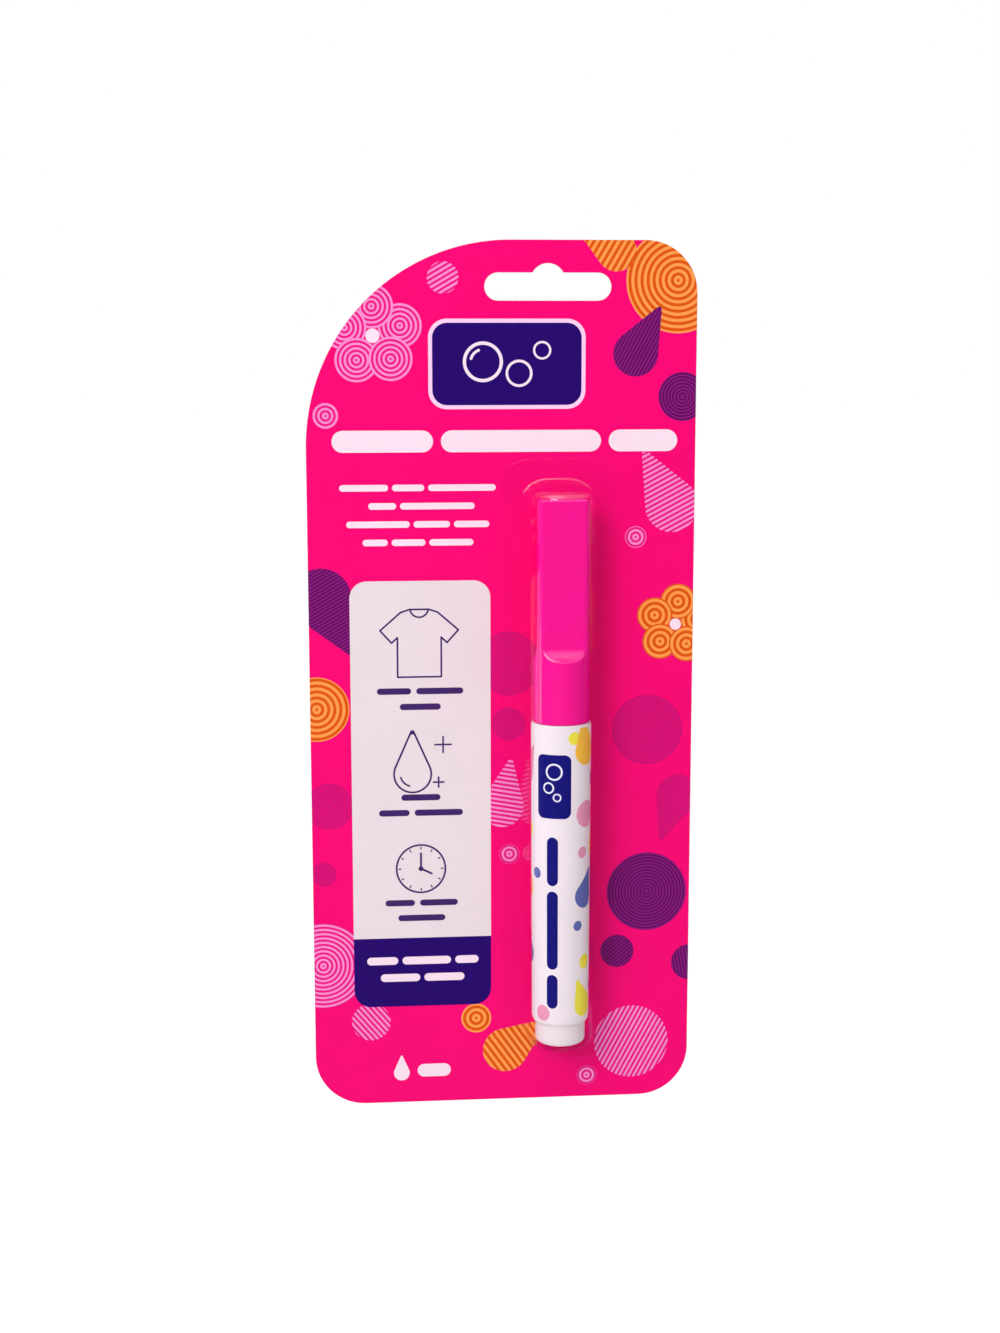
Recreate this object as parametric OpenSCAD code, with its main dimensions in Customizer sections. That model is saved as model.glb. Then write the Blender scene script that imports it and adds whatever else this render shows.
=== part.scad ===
// A press-tip cleaning pen in a clear blister on a hanging card.
// Origin: where the peg bears at the top of the hang slot, on the card's back face.
// +X runs across the card, +Z up the card, and the pack's front faces -Y.

/* [Card] */
// Width of the card
card_w = 90; // [84:1:110]
// Height of the card
card_h = 204; // [190:1:230]
// Thickness of the board
board_t = 0.5; // [0.4:0.05:0.8]
// Radius of the sweeping corner at the top left
sweep_r = 47; // [30:1:50]
// Radius of the other three corners
corner_r = 12; // [5:0.5:16]

/* [Hang slot] */
// Length of the slot over its round ends
slot_w = 29; // [24:0.5:32]
// Height of the slot
slot_h = 6.2; // [5.5:0.1:8]
// Width of the bump that rides on the peg
bump_w = 7; // [5:0.5:10]
// Height of the bump above the slot
bump_h = 2.1; // [1:0.1:3]
// Distance from the card's left edge to the middle of the slot
slot_x = 55.5; // [45:0.5:60]
// Distance from the card's top edge to the slot
slot_drop = 7.4; // [6:0.2:12]

/* [Place of the pen] */
// Distance from the card's left edge to the pen's axis
pen_x = 58; // [50:0.5:62]
// Height of the pen's tail above the card's lower edge
pen_rise = 17.2; // [14:0.2:24]

/* [Blister] */
// Thickness of the clear sheet
sheet_t = 0.3; // [0.2:0.05:0.5]
// Width of the sealed flange round the bubble
flange_w = 5; // [3:0.5:6]
// Radius of the flange's corners
flange_r = 7; // [2:0.5:10]
// Radius of the bubble's corners on the card
bubble_r = 6; // [3:0.5:8]
// How far each side wall leans out on its way to the card
side_draft = 1.1; // [0.4:0.1:2]
// How far each end wall leans out on its way to the card
end_draft = 2; // [1:0.1:4]
// Radius of the edge between the roof and the end walls
roof_edge_r = 2; // [0.6:0.1:3]
// Room between the pen and the roof
roof_room = 0.45; // [0.3:0.05:1]
// Room below the pen's tail
tail_room = 0.5; // [0.3:0.05:1]
// Room above the cap
head_room = 1.6; // [1.4:0.1:4]

/* [Barrel] */
// Length of the barrel
barrel_len = 71.9; // [60:0.1:90]
// Diameter of the barrel at its lower end
barrel_low_d = 13.2; // [13:0.1:14.5]
// Diameter of the barrel at its rim
barrel_rim_d = 13.8; // [13.2:0.1:15]
// Diameter of the bore that holds the liquid
bore_d = 11; // [10.8:0.1:11.2]
// Radius of the rim's outer edge
barrel_edge_r = 0.35; // [0.1:0.05:0.5]
// Height of the rounded lower end
foot_h = 2; // [1:0.1:3]
// How far the rounded lower end draws in
foot_in = 0.7; // [0.4:0.05:0.8]
// Thickness of the printed film
label_t = 0.06; // [0.04:0.01:0.1]
// Bare stretch below the barrel's rim
label_margin = 0.6; // [0.5:0.1:4]
// Width of the film's butt seam at the back
label_seam = 0.3; // [0.1:0.1:1]

/* [Tail plug] */
// Diameter of the part that shows
tail_d = 11.7; // [11.4:0.1:11.8]
// Length of the part that shows
tail_len = 5.2; // [4:0.1:12]
// Radius of its lower edge
tail_edge_r = 1.2; // [0.4:0.1:2]
// Depth of the part inside the barrel
tail_depth = 7; // [4:0.5:10]
// Wall of the hollow part
tail_wall = 1; // [0.7:0.1:1.5]
// Depth of the dish in its lower face
dish_depth = 0.4; // [0.2:0.1:0.8]

/* [Cap] */
// Length of the cap
cap_len = 51.5; // [48:0.1:60]
// Diameter of the round skirt
cap_d = 13.2; // [13:0.05:13.6]
// Distance of the three flats from the cap's axis
flat_r = 4.15; // [4:0.05:5.2]
// Turn of the first flat from the front, to the right
flats_turn = 3.5; // [-60:0.5:60]
// Height of the flats' lowest point above the mouth
flats_rise = 14.6; // [14.4:0.2:24]
// Radius of the run-out at the lower end of each flat
run_out_r = 4; // [2:0.5:8]
// Radius of the top edge between the flats
cap_edge_r = 0.7; // [0.2:0.1:1.5]
// Thickness of the cap's end
cap_end_t = 1.2; // [0.8:0.1:2]
// Wall of the inner cap
liner_wall = 0.5; // [0.4:0.05:0.6]
// Thickness of the inner cap's end
liner_end_t = 1; // [0.6:0.1:1.6]

/* [Nib holder] */
// Diameter of the neck that the cap slides on
neck_d = 11; // [10.6:0.1:11.2]
// Length of the neck
neck_len = 11.5; // [10:0.5:14]
// Height of the bead round the neck
bead_h = 0.15; // [0.05:0.05:0.2]
// Diameter of the nose where it leaves the neck
nose_base_d = 4.9; // [4.6:0.1:5.1]
// Diameter of the nose at its tip
nose_tip_d = 4.4; // [4.3:0.1:4.6]
// Length from the barrel's rim to the nose's tip
nose_reach = 33.5; // [30:0.5:36]
// Diameter of the flange sunk in the barrel's rim
collar_d = 12.2; // [11.9:0.1:12.4]
// Thickness of that flange
collar_t = 1; // [0.8:0.1:2]
// Length of the sleeve inside the barrel
sleeve_len = 13; // [12.6:0.2:16]
// Gap round the nib and the stem's cup, where the liquid passes
feed_gap = 0.25; // [0.2:0.01:0.28]

/* [Nib] */
// Diameter of the fibre nib
nib_d = 2.6; // [2.4:0.1:2.8]
// Length of the nib that shows beyond the nose
nib_out = 8; // [5:0.5:10]
// Length of the nib's bullet point
nib_point = 2.6; // [1.6:0.2:4]
// Radius of the nib's very tip
nib_tip_r = 0.6; // [0.4:0.1:0.9]

/* [Valve] */
// Diameter of the valve chamber
chamber_d = 8.6; // [8.4:0.1:8.8]
// Height of the valve seat's ledge above the barrel's rim
ledge_rise = 6.7; // [5.5:0.1:8]
// Thickness of the soft seat
seat_t = 1.4; // [1:0.1:2]
// Diameter of the hole through the seat
seat_hole_d = 3.2; // [3:0.1:3.4]
// Length of the cage below the seat
cage_len = 14.6; // [13:0.2:15.5]
// Wall and floor of the cage
cage_wall = 0.8; // [0.6:0.1:1]
// Diameter of the stem's sealing head
head_d = 5.8; // [5.6:0.1:6]
// Thickness of the sealing head
head_t = 1.4; // [1:0.1:2]
// Diameter of the stem between head and nib
stem_d = 2.2; // [1.8:0.1:2.3]
// Diameter of the guide pin below the head
guide_d = 1.8; // [1.4:0.1:2]
// How far the nib and stem are pressed in
tip_travel = 1.6; // [1:0.1:2]
// Diameter of the spring's wire
wire_d = 0.5; // [0.4:0.05:0.6]
// Mean diameter of the spring
coil_d = 4.3; // [4:0.1:4.6]
// Turns of the spring
coil_turns = 8; // [6:1:10]

/* [Fits] */
// Thickness of the seal between the flange and the card
seal_gap = 0.02; // [0.01:0.01:0.05]
// Gap between the pen and the card
card_room = 0.3; // [0.3:0.05:0.6]
// Radial gap of pieces that are pressed or glued together
seat_gap = 0.02; // [0.01:0.01:0.03]
// Radial gap of pieces that slide in each other
slide_gap = 0.08; // [0.05:0.01:0.1]
// Gap between the cap's mouth and the barrel's rim
mouth_gap = 0.1; // [0.05:0.05:0.3]

/* [Hidden] */
$fn = 64;
// Overshoot of a cut past a face
past = 1;
// Step of the barrel's rounded end, in degrees
foot_step = 7.5;

// Heights along the pen, from its tail
barrel_z = tail_len;
rim_z = barrel_z + barrel_len;
mouth_z = rim_z + mouth_gap;
pen_len = mouth_z + cap_len;
nose_z = rim_z + nose_reach;
nib_z = nose_z + nib_out;
neck_z = rim_z + neck_len;
bead_z = rim_z + 0.45 * neck_len;
ledge_z = rim_z + ledge_rise;
seat_z = ledge_z - seat_t;
head_z = seat_z - seat_gap - head_t;
cage_z = seat_z - cage_len;
floor_z = cage_z + cage_wall;
sleeve_z = rim_z - sleeve_len;

// Radii
pen_r = barrel_rim_d / 2 + seat_gap + label_t;
fit_r = bore_d / 2 - seat_gap;
neck_r = neck_d / 2;
cap_r = cap_d / 2;
chamber_fit_r = chamber_d / 2 - seat_gap;
skirt_bore_r = neck_r + bead_h + slide_gap;
nose_base_r = nose_base_d / 2;
nib_bore_r = nib_d / 2 + feed_gap;
liner_bore_r = nose_base_r + slide_gap;
liner_r = liner_bore_r + liner_wall;
cap_bore_r = liner_r + seat_gap;

// Shoulder between the neck and the nose, and the cap's step that clears it
shoulder_h = neck_r - nose_base_r;
nose_straight = 4;
cap_step_z = neck_z + shoulder_h + mouth_gap;
liner_lead = 0.3;
liner_z = cap_step_z + liner_lead;
cap_bore_end_z = pen_len - cap_end_t;
liner_end_z = cap_bore_end_z - seat_gap - liner_end_t;

// Places on the card
hang_z = card_h - slot_drop + bump_h;
pen_y = -board_t - card_room - pen_r;
pen_h = card_room + pen_r;

// Bubble of the blister, measured inside, in heights on the card
roof_r = pen_r + roof_room;
bubble_low = pen_rise - tail_room;
bubble_high = pen_rise + pen_len + head_room;
bubble_half_w = roof_r + side_draft;

// Valve stem's cup under the nib
cup_r = seat_hole_d / 2 - feed_gap;
cup_t = 1;
cup_clear = 0.8;
cup_z = ledge_z + tip_travel + cup_clear;
nib_base_z = cup_z + cup_t + seat_gap;

// Points of an arc about (x, y) from angle a0 to a1
function arc(x, y, r, a0, a1, steps = 6) = [
    for (i = [0 : steps])
        let (a = a0 + (a1 - a0) * i / steps)
        [x + r * cos(a), y + r * sin(a)]
];

// Quarter of an ellipse from the barrel's lower face up its side, out from that side by gap.
// The arc starts at angle a0, and each step is the same, so that the film follows the barrel.
function foot_arc(a0, gap = 0) = [
    for (i = [0 : round(-a0 / foot_step)])
        let (a = a0 + i * foot_step)
        [
            barrel_r(barrel_z + foot_h) - foot_in * (1 - cos(a)) + gap,
            barrel_z + foot_h * (1 + sin(a))
        ]
];

// Radius of the barrel's outside at height z on the pen, above its rounded end
function barrel_r(z) =
    (barrel_low_d + (barrel_rim_d - barrel_low_d) * (z - barrel_z) / barrel_len) / 2;

// Card's plane, with X from its left edge and Z from its lower edge
module on_card() {
    translate([-slot_x, 0, -hang_z])
        children();
}

// Pen's axis, with Z from its tail
module on_pen() {
    on_card()
        translate([pen_x, pen_y, pen_rise])
            children();
}

// Blister's frame: X across the bubble, Y up the card, Z out from the card's front
module on_front() {
    on_card()
        translate([pen_x, -board_t - seal_gap, 0])
            rotate([90, 0, 0])
                children();
}

// Rectangle from height low to high, centred on the pen, with round corners
module round_band(half_w, low, high, r) {
    translate([-half_w + r, low])
        square([2 * (half_w - r), high - low]);
    translate([-half_w, low + r])
        square([2 * half_w, high - low - 2 * r]);
    for (x = [-half_w + r, half_w - r], y = [low + r, high - r])
        translate([x, y])
            circle(r);
}

// Ring between two radii and two heights
module ring(outer_r, inner_r, low, high) {
    translate([0, 0, low])
        difference() {
            cylinder(r = outer_r, h = high - low);
            translate([0, 0, -past])
                cylinder(r = inner_r, h = high - low + 2 * past);
        }
}

module card_outline() {
    polygon(concat(
        arc(corner_r, corner_r, corner_r, 180, 270, 16),
        arc(card_w - corner_r, corner_r, corner_r, 270, 360, 16),
        arc(card_w - corner_r, card_h - corner_r, corner_r, 0, 90, 16),
        arc(sweep_r, card_h - sweep_r, sweep_r, 90, 180, 60)
    ));
}

module slot_outline() {
    slot_r = slot_h / 2;
    end_x = slot_w / 2 - slot_r;
    bump_r = bump_w / 2;
    // The bump's crown is an arc through its two corners and its top
    crown_r = (bump_r * bump_r + bump_h * bump_h) / (2 * bump_h);
    crown_a = asin((crown_r - bump_h) / crown_r);
    translate([slot_x, card_h - slot_drop - slot_r])
        polygon(concat(
            arc(end_x, 0, slot_r, -90, 90, 16),
            arc(0, slot_r + bump_h - crown_r, crown_r, crown_a, 180 - crown_a, 12),
            arc(-end_x, 0, slot_r, 90, 270, 16)
        ));
}

module backing_card() {
    color("deeppink")
        on_card()
            rotate([90, 0, 0])
                linear_extrude(board_t)
                    difference() {
                        card_outline();
                        slot_outline();
                    }
}

// Solid bubble, grown by t on every side: a round roof on drafted side and end walls
module bubble(t) {
    r = roof_r + t;
    low = bubble_low - t;
    high = bubble_high + t;
    hull() {
        translate([0, low, pen_h])
            rotate([-90, 0, 0])
                rotate_extrude($fn = 48)
                    polygon(concat(
                        [[0, 0]],
                        arc(r - roof_edge_r, roof_edge_r, roof_edge_r, -90, 0),
                        arc(r - roof_edge_r, high - low - roof_edge_r, roof_edge_r, 0, 90),
                        [[0, high - low]]
                    ));
        linear_extrude(0.01)
            round_band(bubble_half_w + t, low - end_draft, high + end_draft, bubble_r + t, $fn = 48);
    }
}

module blister_shell() {
    color("lightcyan", 0.35)
        on_front()
            difference() {
                union() {
                    intersection() {
                        bubble(sheet_t);
                        translate([-card_w, 0, 0])
                            cube([2 * card_w, card_h, 4 * pen_h]);
                    }
                    linear_extrude(sheet_t)
                        round_band(
                            bubble_half_w + flange_w,
                            bubble_low - end_draft - flange_w,
                            bubble_high + end_draft + flange_w,
                            flange_r
                        );
                }
                translate([0, 0, -0.005])
                    bubble(0);
                // The roof cylinder may not bulge past the card's plane
                translate([-bubble_half_w, 0, -4 * pen_h])
                    cube([2 * bubble_half_w, card_h, 4 * pen_h]);
            }
}

module barrel() {
    e = barrel_edge_r;
    rim_r = barrel_rim_d / 2;
    color("white")
        on_pen()
            difference() {
                rotate_extrude()
                    polygon(concat(
                        [[0, barrel_z]],
                        foot_arc(-90),
                        arc(rim_r - e, rim_z - e, e, 0, 90, 4),
                        [[0, rim_z]]
                    ));
                translate([0, 0, barrel_z - past])
                    cylinder(d = bore_d, h = barrel_len + 2 * past);
                translate([0, 0, rim_z - collar_t])
                    cylinder(d = collar_d, h = collar_t + past);
            }
}

module barrel_label() {
    high = rim_z - label_margin;
    inner_high = barrel_r(high) + seat_gap;
    foot = foot_arc(-45, seat_gap);
    foot_outside = foot_arc(-45, seat_gap + label_t);
    color("ghostwhite")
        on_pen()
            difference() {
                rotate_extrude()
                    polygon(concat(
                        foot_outside,
                        [
                            [inner_high + label_t, high],
                            [inner_high, high]
                        ],
                        [for (i = [len(foot) - 1 : -1 : 0]) foot[i]]
                    ));
                translate([-label_seam / 2, 0, barrel_z - past])
                    cube([label_seam, barrel_rim_d, barrel_len + 2 * past]);
            }
}

module tail_plug() {
    e = tail_edge_r;
    tail_r = tail_d / 2;
    lead = 0.5;
    top_z = tail_len + tail_depth;
    rib_h = 0.8;
    color("whitesmoke")
        on_pen()
            difference() {
                union() {
                    rotate_extrude()
                        polygon(concat(
                            [[0, 0]],
                            arc(tail_r - e, e, e, -90, 0, 8),
                            [
                                [tail_r, tail_len - seat_gap],
                                [fit_r - 0.1, tail_len - seat_gap],
                                [fit_r - 0.1, top_z - lead],
                                [fit_r - 0.1 - lead, top_z],
                                [0, top_z]
                            ]
                        ));
                    // Sealing ribs that grip the bore
                    for (z = [0.3, 0.65])
                        ring(fit_r, fit_r - 0.3, tail_len + z * tail_depth, tail_len + z * tail_depth + rib_h);
                }
                // Hollow core, open towards the liquid
                translate([0, 0, 2 * tail_wall])
                    cylinder(r = fit_r - 0.1 - tail_wall, h = top_z);
                // Shallow dish in the lower face
                translate([0, 0, -past])
                    cylinder(r = tail_r - 2 * e, h = past + dish_depth);
            }
}

module nib_holder() {
    neck_edge = 0.4;
    groove_r = nib_bore_r + 0.2;
    groove_w = 0.8;
    feed_grooves = 3;
    tip_lip = 1.6;
    nose_tip_r = nose_tip_d / 2;
    nose_edge = 0.4;
    color("white")
        on_pen()
            difference() {
                rotate_extrude()
                    polygon(concat(
                        [
                            [0, sleeve_z],
                            [fit_r - 0.4, sleeve_z],
                            [fit_r, sleeve_z + 0.8],
                            [fit_r, rim_z - collar_t + seat_gap],
                            [collar_d / 2 - seat_gap, rim_z - collar_t + seat_gap],
                            [collar_d / 2 - seat_gap, rim_z],
                            [neck_r, rim_z],
                            [neck_r, bead_z - 3 * bead_h],
                            [neck_r + bead_h, bead_z - bead_h],
                            [neck_r + bead_h, bead_z + bead_h],
                            [neck_r, bead_z + 3 * bead_h]
                        ],
                        arc(neck_r - neck_edge, neck_z - neck_edge, neck_edge, 0, 45, 3),
                        [
                            [nose_base_r, neck_z + shoulder_h],
                            [nose_base_r, neck_z + shoulder_h + nose_straight],
                            [nose_tip_r, nose_z - nose_edge]
                        ],
                        [
                            [nose_tip_r - nose_edge, nose_z],
                            [0, nose_z]
                        ]
                    ));
                // Valve chamber
                translate([0, 0, sleeve_z - past])
                    cylinder(d = chamber_d, h = ledge_z - sleeve_z + past);
                // Bore for the nib, closer at the nose's lip
                translate([0, 0, ledge_z - past])
                    cylinder(r = nib_bore_r, h = nose_z - tip_lip - ledge_z + past);
                translate([0, 0, ledge_z])
                    cylinder(r = nib_d / 2 + slide_gap, h = nose_z - ledge_z + past);
                // Grooves that let the liquid pass along the nib
                for (i = [0 : feed_grooves - 1])
                    rotate([0, 0, 360 * i / feed_grooves])
                        translate([0, -groove_w / 2, ledge_z])
                            cube([groove_r, groove_w, nose_z - 2 * tip_lip - ledge_z]);
            }
}

module valve_seat() {
    lip_w = 0.5;
    lip_h = 0.3;
    color("dimgray")
        on_pen()
            rotate_extrude()
                polygon([
                    [seat_hole_d / 2, seat_z],
                    [seat_hole_d / 2 + lip_w, seat_z],
                    [chamber_fit_r, seat_z],
                    [chamber_fit_r, ledge_z - seat_gap],
                    [seat_hole_d / 2 + lip_h, ledge_z - seat_gap],
                    [seat_hole_d / 2, ledge_z - seat_gap - lip_h]
                ]);
}

module valve_cage() {
    inner_r = chamber_fit_r - cage_wall;
    windows = 4;
    window_w = 2.4;
    port_w = 1;
    color("gainsboro")
        on_pen()
            difference() {
                translate([0, 0, cage_z])
                    cylinder(r = chamber_fit_r, h = cage_len - seat_gap);
                translate([0, 0, floor_z])
                    cylinder(r = inner_r, h = cage_len);
                // Guide hole for the stem's pin
                translate([0, 0, cage_z - past])
                    cylinder(r = guide_d / 2 + slide_gap, h = cage_wall + 2 * past);
                // Ports in the floor and windows in the side, where the liquid flows in
                for (i = [0 : windows - 1])
                    rotate([0, 0, 360 * (i + 0.5) / windows]) {
                        translate([coil_d / 2 + wire_d / 2 + 0.1, -port_w / 2, cage_z - past])
                            cube([inner_r - coil_d / 2 - wire_d / 2 - 0.1, port_w, cage_wall + 2 * past]);
                        translate([inner_r - past, -window_w / 2, floor_z + 2])
                            cube([cage_wall + 2 * past, window_w, cage_len / 2]);
                    }
            }
}

// Compression spring with closed end turns, swept along its helix
module valve_spring() {
    sides = 6;
    rings = 12;
    low = floor_z + seat_gap + wire_d / 2;
    high = head_z - seat_gap - wire_d / 2;
    closed_pitch = wire_d + 0.08;
    open_turns = coil_turns - 2;
    open_pitch = (high - low - 2 * closed_pitch) / open_turns;
    // Height of the wire's middle after n turns
    function climb(n) =
        n < 1 ? n * closed_pitch
        : n < coil_turns - 1 ? closed_pitch + (n - 1) * open_pitch
        : high - low - (coil_turns - n) * closed_pitch;
    steps = coil_turns * rings;
    points = [
        for (i = [0 : steps], j = [0 : sides - 1])
            let (
                turn = i / rings,
                a = 360 * turn,
                b = 360 * j / sides,
                r = coil_d / 2 + wire_d / 2 * cos(b)
            )
            [r * cos(a), r * sin(a), low + climb(turn) + wire_d / 2 * sin(b)]
    ];
    walls = [
        for (i = [0 : steps - 1], j = [0 : sides - 1])
            let (k = (j + 1) % sides, a = i * sides, b = a + sides)
            each [[a + j, b + k, b + j], [a + j, a + k, b + k]]
    ];
    start = [for (j = [1 : sides - 2]) [0, j + 1, j]];
    finish = [for (j = [1 : sides - 2]) [steps * sides, steps * sides + j, steps * sides + j + 1]];
    color("silver")
        on_pen()
            polyhedron(points, concat(walls, start, finish));
}

module valve_stem() {
    guide_end_z = cage_z - 1.5;
    neck = 0.5;
    color("aliceblue")
        on_pen()
            rotate_extrude()
                polygon([
                    [0, guide_end_z],
                    [guide_d / 2 - 0.3, guide_end_z],
                    [guide_d / 2, guide_end_z + 0.3],
                    [guide_d / 2, head_z],
                    [head_d / 2, head_z],
                    [head_d / 2, head_z + head_t],
                    [stem_d / 2, head_z + head_t],
                    [stem_d / 2, cup_z - neck],
                    [cup_r, cup_z],
                    [cup_r, cup_z + cup_t],
                    [0, cup_z + cup_t]
                ]);
}

module nib() {
    r = nib_d / 2;
    // The bullet point is an arc through the rod's edge, closed by a round tip
    color("ivory")
        on_pen()
            rotate_extrude()
                polygon(concat(
                    [
                        [0, nib_base_z],
                        [r - 0.2, nib_base_z],
                        [r, nib_base_z + 0.2],
                        [r, nib_z - nib_point]
                    ],
                    arc(0, nib_z - nib_tip_r, nib_tip_r, 30, 90, 6)
                ));
}

module cap() {
    e = cap_edge_r;
    depth = cap_r - flat_r;
    run_out_h = sqrt(run_out_r * run_out_r - pow(max(run_out_r - depth, 0), 2));
    flat_z = mouth_z + flats_rise + run_out_h;
    lead = 0.3;
    color("deeppink")
        on_pen()
            difference() {
                translate([0, 0, mouth_z])
                    cylinder(r = cap_r, h = cap_len);
                for (i = [0 : 2])
                    rotate([0, 0, flats_turn - 90 + 120 * i])
                        rotate([90, 0, 0])
                            linear_extrude(2 * cap_d, center = true) {
                                // Flat, with a hollow run-out at its lower end
                                translate([flat_r, flat_z])
                                    square([cap_d, cap_len]);
                                translate([flat_r + run_out_r, flat_z])
                                    circle(run_out_r);
                            }
                rotate_extrude()
                    difference() {
                        translate([cap_r - e, pen_len - e])
                            square(e + past);
                        translate([cap_r - e, pen_len - e])
                            circle(e);
                    }
                // Bore: lead-in, skirt, groove for the bead, step over the shoulder, inner cap
                rotate_extrude()
                    polygon([
                        [0, mouth_z - past],
                        [skirt_bore_r + lead, mouth_z - past],
                        [skirt_bore_r + lead, mouth_z],
                        [skirt_bore_r, mouth_z + lead],
                        [skirt_bore_r, bead_z - 4 * bead_h],
                        [skirt_bore_r + bead_h / 2, bead_z - 2 * bead_h],
                        [skirt_bore_r + bead_h / 2, bead_z + 2 * bead_h],
                        [skirt_bore_r, bead_z + 4 * bead_h],
                        [skirt_bore_r, neck_z],
                        [cap_bore_r, cap_step_z],
                        [cap_bore_r, cap_bore_end_z],
                        [0, cap_bore_end_z]
                    ]);
            }
}

module inner_cap() {
    lip_h = 1.2;
    lip_gap = 0.1;
    color("snow")
        on_pen()
            rotate_extrude()
                polygon([
                    [liner_bore_r, liner_z],
                    [liner_r - 0.2, liner_z],
                    [liner_r, liner_z + 0.2],
                    [liner_r, cap_bore_end_z - seat_gap],
                    [0, cap_bore_end_z - seat_gap],
                    [0, liner_end_z],
                    [liner_bore_r + lip_gap, liner_end_z],
                    [liner_bore_r + lip_gap, liner_z + lip_h + lip_gap],
                    [liner_bore_r, liner_z + lip_h]
                ]);
}

backing_card();
blister_shell();
barrel();
barrel_label();
tail_plug();
nib_holder();
valve_seat();
valve_cage();
valve_spring();
valve_stem();
nib();
cap();
inner_cap();
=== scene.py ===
"""Looks of the cleaning pen pack: printed card, clear blister, capped pen, studio light and camera."""

import math

import bmesh
import bpy
from mathutils import Matrix, Vector
from mathutils.geometry import delaunay_2d_cdt


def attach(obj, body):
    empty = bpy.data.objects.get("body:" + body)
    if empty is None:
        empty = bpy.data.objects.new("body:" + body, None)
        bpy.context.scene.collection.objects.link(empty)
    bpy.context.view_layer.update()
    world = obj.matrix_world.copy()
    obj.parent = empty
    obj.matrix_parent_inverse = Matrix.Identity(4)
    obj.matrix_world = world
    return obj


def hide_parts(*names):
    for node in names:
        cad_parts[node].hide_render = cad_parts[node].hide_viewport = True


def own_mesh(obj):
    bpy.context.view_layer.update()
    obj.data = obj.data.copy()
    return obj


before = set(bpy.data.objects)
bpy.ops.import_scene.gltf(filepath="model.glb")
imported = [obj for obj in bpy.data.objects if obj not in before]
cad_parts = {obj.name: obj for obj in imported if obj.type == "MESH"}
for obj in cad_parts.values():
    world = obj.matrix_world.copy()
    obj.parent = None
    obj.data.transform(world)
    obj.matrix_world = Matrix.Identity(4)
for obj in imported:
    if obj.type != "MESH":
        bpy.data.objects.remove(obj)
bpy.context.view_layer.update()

MM = 0.001

# Card, in millimetres from its left and lower edges
CARD_W = 90.0
CARD_H = 204.0
BOARD_T = 0.5
SWEEP_R = 47.0
CORNER_R = 12.0
SLOT_X = 55.5
SLOT_W = 29.0
SLOT_H = 6.2
SLOT_DROP = 7.4
BUMP_W = 7.0
BUMP_H = 2.1
HANG_Z = CARD_H - SLOT_DROP + BUMP_H

# Pen, in millimetres from its tail
PEN_X = 58.0
PEN_RISE = 17.2
PEN_OUT = 7.28
BARREL_LOW = 5.2
BARREL_HIGH = 77.1
BARREL_LOW_R = 6.6
BARREL_HIGH_R = 6.9
FOOT_H = 2.0
FOOT_IN = 0.7
SEAT_GAP = 0.02
LABEL_T = 0.06
LABEL_MARGIN = 0.6
LABEL_SEAM = 0.3

# Cap
CAP_LOW = 77.2
CAP_HIGH = 128.7
CAP_R = 6.6
FLAT_R = 4.15
FLATS_TURN = math.radians(3.5)
FLATS_RISE = 14.6
RUN_OUT_R = 4.0
CAP_EDGE_R = 0.7
MOUTH_EDGE_R = 0.15

# Valve spring inside the barrel
SPRING_LOW = 68.62
SPRING_HIGH = 80.96
WIRE_R = 0.25
COIL_R = 2.15
COIL_TURNS = 8

# Blister
SHEET_T = 0.3
SEAL_GAP = 0.02
FLANGE_W = 5.0
FLANGE_R = 7.0
BUBBLE_R = 6.0
ROOF_R = 7.43
ROOF_EDGE_R = 2.0
SIDE_DRAFT = 1.1
END_DRAFT = 2.0
BUBBLE_LOW = 16.7
BUBBLE_HIGH = 147.5

# Inks, in eight-bit screen values
PAPER_WHITE = (232, 218, 225)
SOFT_WHITE = (248, 222, 238)
PINK = (247, 0, 116)
NAVY = (38, 4, 108)

# Print: widths of lines and heights of the bars that stand for lines of words, in millimetres
SIGN_LINE = 0.42
CROSS_LINE = 0.42
HAND_LINE = 0.5
MARK_LINE = 0.32
RIM_LINE = 0.45
TEXT_BAR = 1.5
TEXT_STEP = 3.7

# Camera, in millimetres and as the axes that it faces along
LENS_MM = 53.43
SENSOR_MM = 36
CAMERA_AT = (-50.93, -455.79, -19.37)
CAMERA_RIGHT = (0.99617, -0.08742, -0.00120)
CAMERA_UP = (0.01501, 0.15741, 0.98742)
CAMERA_BACK = (-0.08613, -0.98366, 0.15811)


def srgb(colour, alpha=1.0):
    """Linear colour from eight-bit screen values."""
    linear = []
    for value in colour:
        v = value / 255
        linear.append(v / 12.92 if v <= 0.04045 else ((v + 0.055) / 1.055) ** 2.4)
    return (*linear, alpha)


# ---- Nodes


def add(tree, kind, values=None, **settings):
    """Adds a shader node, with each input set to a value or linked to a socket."""
    made = tree.nodes.new("ShaderNode" + kind)
    for name, value in settings.items():
        setattr(made, name, value)
    for name, value in (values or {}).items():
        if isinstance(value, bpy.types.NodeSocket):
            tree.links.new(value, made.inputs[name])
        else:
            made.inputs[name].default_value = value
    return made


def new_tree(name):
    """A new material and its empty node tree."""
    material = bpy.data.materials.new(name)
    material.use_nodes = True
    material.node_tree.nodes.clear()
    return material, material.node_tree


def noise(tree, size_mm, detail=2.0, roughness=0.5, stretch=(1, 1, 1)):
    """Noise in the part's own coordinates, with features of about size_mm."""
    place = add(tree, "TexCoord").outputs["Object"]
    if stretch != (1, 1, 1):
        place = add(tree, "Mapping", {"Vector": place, "Scale": stretch}).outputs[0]
    values = {"Vector": place, "Scale": 1000 / size_mm, "Detail": detail, "Roughness": roughness}
    return add(tree, "TexNoise", values).outputs["Fac"]


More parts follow.
